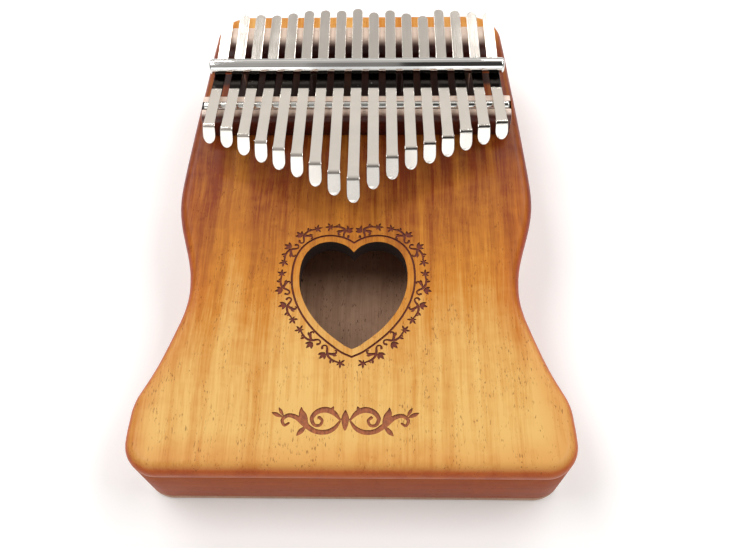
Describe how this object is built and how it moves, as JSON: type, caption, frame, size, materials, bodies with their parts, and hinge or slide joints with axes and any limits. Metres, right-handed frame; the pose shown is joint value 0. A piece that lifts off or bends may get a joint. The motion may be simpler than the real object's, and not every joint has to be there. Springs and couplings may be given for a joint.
{
  "type": "mbira",
  "caption": "Hand-held wooden sound box with a heart-shaped sound hole and a row of sprung steel tines clamped over two bridges, plucked with the thumbs",
  "frame": {"origin": "middle of the flat back face, level with the surface the instrument lies on", "axes": "+Z out of the soundboard, +Y along the body towards the clamped ends of the tines, +X to the right when the tips of the tines point at the player"},
  "size_m": [0.135, 0.185, 0.0498],
  "materials": {
    "soundboard_wood": "satin clear lacquer over warm orange wood with fine straight grain",
    "side_wood": "satin clear lacquer over red-brown wood",
    "back_wood": "satin clear lacquer outside, bare brown wood inside",
    "inner_wood": "bare sanded wood",
    "bridge_wood": "glossy dark red-brown lacquered hardwood",
    "tine_steel": "polished spring steel with bright edges",
    "steel_rod": "polished round steel",
    "chrome_rod": "mirror chrome plating",
    "fasteners": "plain zinc-plated steel"
  },
  "bodies": {
    "sound_box": {"back_board": "back_wood", "head_rail": "side_wood", "tail_rail": "side_wood", "left_rail": "side_wood", "right_rail": "side_wood", "soundboard": "soundboard_wood", "bridge_brace": "inner_wood", "front_bridge": "bridge_wood", "rear_bridge": "bridge_wood", "front_bridge_rod": "steel_rod", "pressure_rod": "chrome_rod", "pressure_screw_1": "fasteners", "pressure_screw_2": "fasteners", "pressure_screw_3": "fasteners", "pressure_screw_4": "fasteners", "screw_washer_1": "fasteners", "screw_washer_2": "fasteners", "screw_washer_3": "fasteners", "screw_washer_4": "fasteners"},
    "tine_01_clamped": {"tine_01_shank": "tine_steel"},
    "tine_01_free": {"tine_01_blade": "tine_steel"},
    "tine_02_clamped": {"tine_02_shank": "tine_steel"},
    "tine_02_free": {"tine_02_blade": "tine_steel"},
    "tine_03_clamped": {"tine_03_shank": "tine_steel"},
    "tine_03_free": {"tine_03_blade": "tine_steel"},
    "tine_04_clamped": {"tine_04_shank": "tine_steel"},
    "tine_04_free": {"tine_04_blade": "tine_steel"},
    "tine_05_clamped": {"tine_05_shank": "tine_steel"},
    "tine_05_free": {"tine_05_blade": "tine_steel"},
    "tine_06_clamped": {"tine_06_shank": "tine_steel"},
    "tine_06_free": {"tine_06_blade": "tine_steel"},
    "tine_07_clamped": {"tine_07_shank": "tine_steel"},
    "tine_07_free": {"tine_07_blade": "tine_steel"},
    "tine_08_clamped": {"tine_08_shank": "tine_steel"},
    "tine_08_free": {"tine_08_blade": "tine_steel"},
    "tine_09_clamped": {"tine_09_shank": "tine_steel"},
    "tine_09_free": {"tine_09_blade": "tine_steel"},
    "tine_10_clamped": {"tine_10_shank": "tine_steel"},
    "tine_10_free": {"tine_10_blade": "tine_steel"},
    "tine_11_clamped": {"tine_11_shank": "tine_steel"},
    "tine_11_free": {"tine_11_blade": "tine_steel"},
    "tine_12_clamped": {"tine_12_shank": "tine_steel"},
    "tine_12_free": {"tine_12_blade": "tine_steel"},
    "tine_13_clamped": {"tine_13_shank": "tine_steel"},
    "tine_13_free": {"tine_13_blade": "tine_steel"},
    "tine_14_clamped": {"tine_14_shank": "tine_steel"},
    "tine_14_free": {"tine_14_blade": "tine_steel"},
    "tine_15_clamped": {"tine_15_shank": "tine_steel"},
    "tine_15_free": {"tine_15_blade": "tine_steel"},
    "tine_16_clamped": {"tine_16_shank": "tine_steel"},
    "tine_16_free": {"tine_16_blade": "tine_steel"},
    "tine_17_clamped": {"tine_17_shank": "tine_steel"},
    "tine_17_free": {"tine_17_blade": "tine_steel"}
  },
  "joints": [
    {"name": "tune_01", "type": "slide", "parent": "sound_box", "child": "tine_01_clamped", "axis": [-0.0275, -0.9996, 0], "range_m": [-0.0015, 0.0015]},
    {"name": "pluck_01", "type": "hinge", "parent": "tine_01_clamped", "child": "tine_01_free", "pos_m": [-0.05016, 0.0363, 0.0439], "axis": [0.9996, -0.0275, 0], "range_deg": [-3, 3], "stiffness_Nm_per_rad": 0.5},
    {"name": "tune_02", "type": "slide", "parent": "sound_box", "child": "tine_02_clamped", "axis": [-0.0241, -0.9997, 0], "range_m": [-0.0015, 0.0015]},
    {"name": "pluck_02", "type": "hinge", "parent": "tine_02_clamped", "child": "tine_02_free", "pos_m": [-0.04389, 0.0363, 0.0439], "axis": [0.9997, -0.0241, 0], "range_deg": [-3, 3], "stiffness_Nm_per_rad": 0.5},
    {"name": "tune_03", "type": "slide", "parent": "sound_box", "child": "tine_03_clamped", "axis": [-0.0206, -0.9998, 0], "range_m": [-0.0015, 0.0015]},
    {"name": "pluck_03", "type": "hinge", "parent": "tine_03_clamped", "child": "tine_03_free", "pos_m": [-0.03762, 0.0363, 0.0439], "axis": [0.9998, -0.0206, 0], "range_deg": [-3, 3], "stiffness_Nm_per_rad": 0.5},
    {"name": "tune_04", "type": "slide", "parent": "sound_box", "child": "tine_04_clamped", "axis": [-0.0172, -0.9999, 0], "range_m": [-0.0015, 0.0015]},
    {"name": "pluck_04", "type": "hinge", "parent": "tine_04_clamped", "child": "tine_04_free", "pos_m": [-0.03135, 0.0363, 0.0439], "axis": [0.9999, -0.0172, 0], "range_deg": [-3, 3], "stiffness_Nm_per_rad": 0.5},
    {"name": "tune_05", "type": "slide", "parent": "sound_box", "child": "tine_05_clamped", "axis": [-0.0138, -0.9999, 0], "range_m": [-0.0015, 0.0015]},
    {"name": "pluck_05", "type": "hinge", "parent": "tine_05_clamped", "child": "tine_05_free", "pos_m": [-0.02508, 0.0363, 0.0439], "axis": [0.9999, -0.0138, 0], "range_deg": [-3, 3], "stiffness_Nm_per_rad": 0.5},
    {"name": "tune_06", "type": "slide", "parent": "sound_box", "child": "tine_06_clamped", "axis": [-0.0103, -0.9999, 0], "range_m": [-0.0015, 0.0015]},
    {"name": "pluck_06", "type": "hinge", "parent": "tine_06_clamped", "child": "tine_06_free", "pos_m": [-0.01881, 0.0363, 0.0439], "axis": [0.9999, -0.0103, 0], "range_deg": [-3, 3], "stiffness_Nm_per_rad": 0.5},
    {"name": "tune_07", "type": "slide", "parent": "sound_box", "child": "tine_07_clamped", "axis": [-0.0069, -1, 0], "range_m": [-0.0015, 0.0015]},
    {"name": "pluck_07", "type": "hinge", "parent": "tine_07_clamped", "child": "tine_07_free", "pos_m": [-0.01254, 0.0363, 0.0439], "axis": [1, -0.0069, 0], "range_deg": [-3, 3], "stiffness_Nm_per_rad": 0.5},
    {"name": "tune_08", "type": "slide", "parent": "sound_box", "child": "tine_08_clamped", "axis": [-0.0034, -1, 0], "range_m": [-0.0015, 0.0015]},
    {"name": "pluck_08", "type": "hinge", "parent": "tine_08_clamped", "child": "tine_08_free", "pos_m": [-0.00627, 0.0363, 0.0439], "axis": [1, -0.0034, 0], "range_deg": [-3, 3], "stiffness_Nm_per_rad": 0.5},
    {"name": "tune_09", "type": "slide", "parent": "sound_box", "child": "tine_09_clamped", "axis": [0, -1, 0], "range_m": [-0.0015, 0.0015]},
    {"name": "pluck_09", "type": "hinge", "parent": "tine_09_clamped", "child": "tine_09_free", "pos_m": [0, 0.0363, 0.0439], "axis": [1, 0, 0], "range_deg": [-3, 3], "stiffness_Nm_per_rad": 0.5},
    {"name": "tune_10", "type": "slide", "parent": "sound_box", "child": "tine_10_clamped", "axis": [0.0034, -1, 0], "range_m": [-0.0015, 0.0015]},
    {"name": "pluck_10", "type": "hinge", "parent": "tine_10_clamped", "child": "tine_10_free", "pos_m": [0.00627, 0.0363, 0.0439], "axis": [1, 0.0034, 0], "range_deg": [-3, 3], "stiffness_Nm_per_rad": 0.5},
    {"name": "tune_11", "type": "slide", "parent": "sound_box", "child": "tine_11_clamped", "axis": [0.0069, -1, 0], "range_m": [-0.0015, 0.0015]},
    {"name": "pluck_11", "type": "hinge", "parent": "tine_11_clamped", "child": "tine_11_free", "pos_m": [0.01254, 0.0363, 0.0439], "axis": [1, 0.0069, 0], "range_deg": [-3, 3], "stiffness_Nm_per_rad": 0.5},
    {"name": "tune_12", "type": "slide", "parent": "sound_box", "child": "tine_12_clamped", "axis": [0.0103, -0.9999, 0], "range_m": [-0.0015, 0.0015]},
    {"name": "pluck_12", "type": "hinge", "parent": "tine_12_clamped", "child": "tine_12_free", "pos_m": [0.01881, 0.0363, 0.0439], "axis": [0.9999, 0.0103, 0], "range_deg": [-3, 3], "stiffness_Nm_per_rad": 0.5},
    {"name": "tune_13", "type": "slide", "parent": "sound_box", "child": "tine_13_clamped", "axis": [0.0138, -0.9999, 0], "range_m": [-0.0015, 0.0015]},
    {"name": "pluck_13", "type": "hinge", "parent": "tine_13_clamped", "child": "tine_13_free", "pos_m": [0.02508, 0.0363, 0.0439], "axis": [0.9999, 0.0138, 0], "range_deg": [-3, 3], "stiffness_Nm_per_rad": 0.5},
    {"name": "tune_14", "type": "slide", "parent": "sound_box", "child": "tine_14_clamped", "axis": [0.0172, -0.9999, 0], "range_m": [-0.0015, 0.0015]},
    {"name": "pluck_14", "type": "hinge", "parent": "tine_14_clamped", "child": "tine_14_free", "pos_m": [0.03135, 0.0363, 0.0439], "axis": [0.9999, 0.0172, 0], "range_deg": [-3, 3], "stiffness_Nm_per_rad": 0.5},
    {"name": "tune_15", "type": "slide", "parent": "sound_box", "child": "tine_15_clamped", "axis": [0.0206, -0.9998, 0], "range_m": [-0.0015, 0.0015]},
    {"name": "pluck_15", "type": "hinge", "parent": "tine_15_clamped", "child": "tine_15_free", "pos_m": [0.03762, 0.0363, 0.0439], "axis": [0.9998, 0.0206, 0], "range_deg": [-3, 3], "stiffness_Nm_per_rad": 0.5},
    {"name": "tune_16", "type": "slide", "parent": "sound_box", "child": "tine_16_clamped", "axis": [0.0241, -0.9997, 0], "range_m": [-0.0015, 0.0015]},
    {"name": "pluck_16", "type": "hinge", "parent": "tine_16_clamped", "child": "tine_16_free", "pos_m": [0.04389, 0.0363, 0.0439], "axis": [0.9997, 0.0241, 0], "range_deg": [-3, 3], "stiffness_Nm_per_rad": 0.5},
    {"name": "tune_17", "type": "slide", "parent": "sound_box", "child": "tine_17_clamped", "axis": [0.0275, -0.9996, 0], "range_m": [-0.0015, 0.0015]},
    {"name": "pluck_17", "type": "hinge", "parent": "tine_17_clamped", "child": "tine_17_free", "pos_m": [0.05016, 0.0363, 0.0439], "axis": [0.9996, 0.0275, 0], "range_deg": [-3, 3], "stiffness_Nm_per_rad": 0.5}
  ]
}
